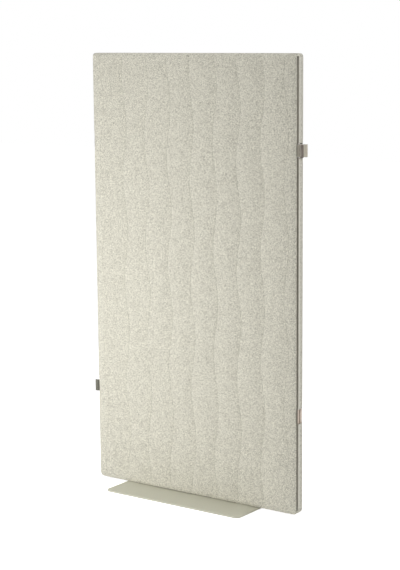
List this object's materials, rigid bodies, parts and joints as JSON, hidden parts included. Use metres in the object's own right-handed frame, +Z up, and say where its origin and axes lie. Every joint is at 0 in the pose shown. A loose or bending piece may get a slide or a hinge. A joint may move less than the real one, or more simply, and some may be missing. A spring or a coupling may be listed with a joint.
{
  "type": "acoustic divider screen",
  "caption": "Free-standing sound-absorbing room divider with a wave-quilted cover, a steel base plate and snap clips that link screens in a row.",
  "frame": {"origin": "on the floor, under the middle of the screen", "axes": "+Z up, +X along the screen's width, -Y out of its front face"},
  "size_m": [0.8506, 0.27, 1.48],
  "materials": {
    "powder_coat": "fine matt powder coat, grey-beige",
    "pad_rubber": "matt",
    "frame_tube": "satin powder coat, warm grey-brown",
    "cast_joint": "matt casting",
    "zinc_steel": "bright zinc",
    "felt_board": "pressed polyester felt",
    "cover_fabric": "wool melange, light grey-beige",
    "zip_tape": "woven tape",
    "zip_teeth": "nylon coil",
    "zip_slider": "enamelled die casting",
    "clip_nylon": "moulded nylon, grey-beige"
  },
  "bodies": {
    "screen": {"base_plate": "powder_coat", "base_pads": "pad_rubber", "left_saddle": "powder_coat", "right_saddle": "powder_coat", "base_screws": "zinc_steel", "left_nut_bar": "zinc_steel", "right_nut_bar": "zinc_steel", "bottom_rail": "frame_tube", "top_rail": "frame_tube", "middle_rail": "frame_tube", "left_upright": "frame_tube", "right_upright": "frame_tube", "bottom_left_elbow": "cast_joint", "bottom_right_elbow": "cast_joint", "top_left_elbow": "cast_joint", "top_right_elbow": "cast_joint", "left_tee": "cast_joint", "right_tee": "cast_joint", "frame_screws": "zinc_steel", "lower_board": "felt_board", "upper_board": "felt_board", "front_quilt": "cover_fabric", "back_quilt": "cover_fabric", "top_strip": "cover_fabric", "bottom_strip": "cover_fabric", "left_side_strip": "cover_fabric", "right_side_strip": "cover_fabric", "left_zip_tape": "zip_tape", "right_zip_tape": "zip_tape", "left_zip_teeth": "zip_teeth", "right_zip_teeth": "zip_teeth", "left_clip_rings": "zinc_steel", "right_clip_rings": "zinc_steel"},
    "left_clip": {"left_clip": "clip_nylon"},
    "right_clip": {"right_clip": "clip_nylon"},
    "left_slider": {"left_slider": "zip_slider"},
    "right_slider": {"right_slider": "zip_slider"},
    "left_puller": {"left_puller": "zip_slider"},
    "right_puller": {"right_puller": "zip_slider"}
  },
  "joints": [
    {"name": "left_clip_swivel", "type": "hinge", "parent": "screen", "child": "left_clip", "pos_m": [-0.3915, 0, 0.332], "axis": [0, 0, 1], "range_deg": [-20, 20]},
    {"name": "right_clip_swivel", "type": "hinge", "parent": "screen", "child": "right_clip", "pos_m": [0.3915, 0, 1.18], "axis": [0, 0, 1], "range_deg": [-20, 20]},
    {"name": "left_zip_slide", "type": "slide", "parent": "screen", "child": "left_slider", "axis": [0, 0, 1], "range_m": [0, 1.425]},
    {"name": "left_puller_flip", "type": "hinge", "parent": "left_slider", "child": "left_puller", "pos_m": [-0.40555, -0.014, 0.031], "axis": [0, 1, 0], "range_deg": [0, 165]},
    {"name": "right_zip_slide", "type": "slide", "parent": "screen", "child": "right_slider", "axis": [0, 0, 1], "range_m": [0, 1.425]},
    {"name": "right_puller_flip", "type": "hinge", "parent": "right_slider", "child": "right_puller", "pos_m": [0.40555, -0.014, 0.031], "axis": [0, -1, 0], "range_deg": [0, 165]}
  ]
}
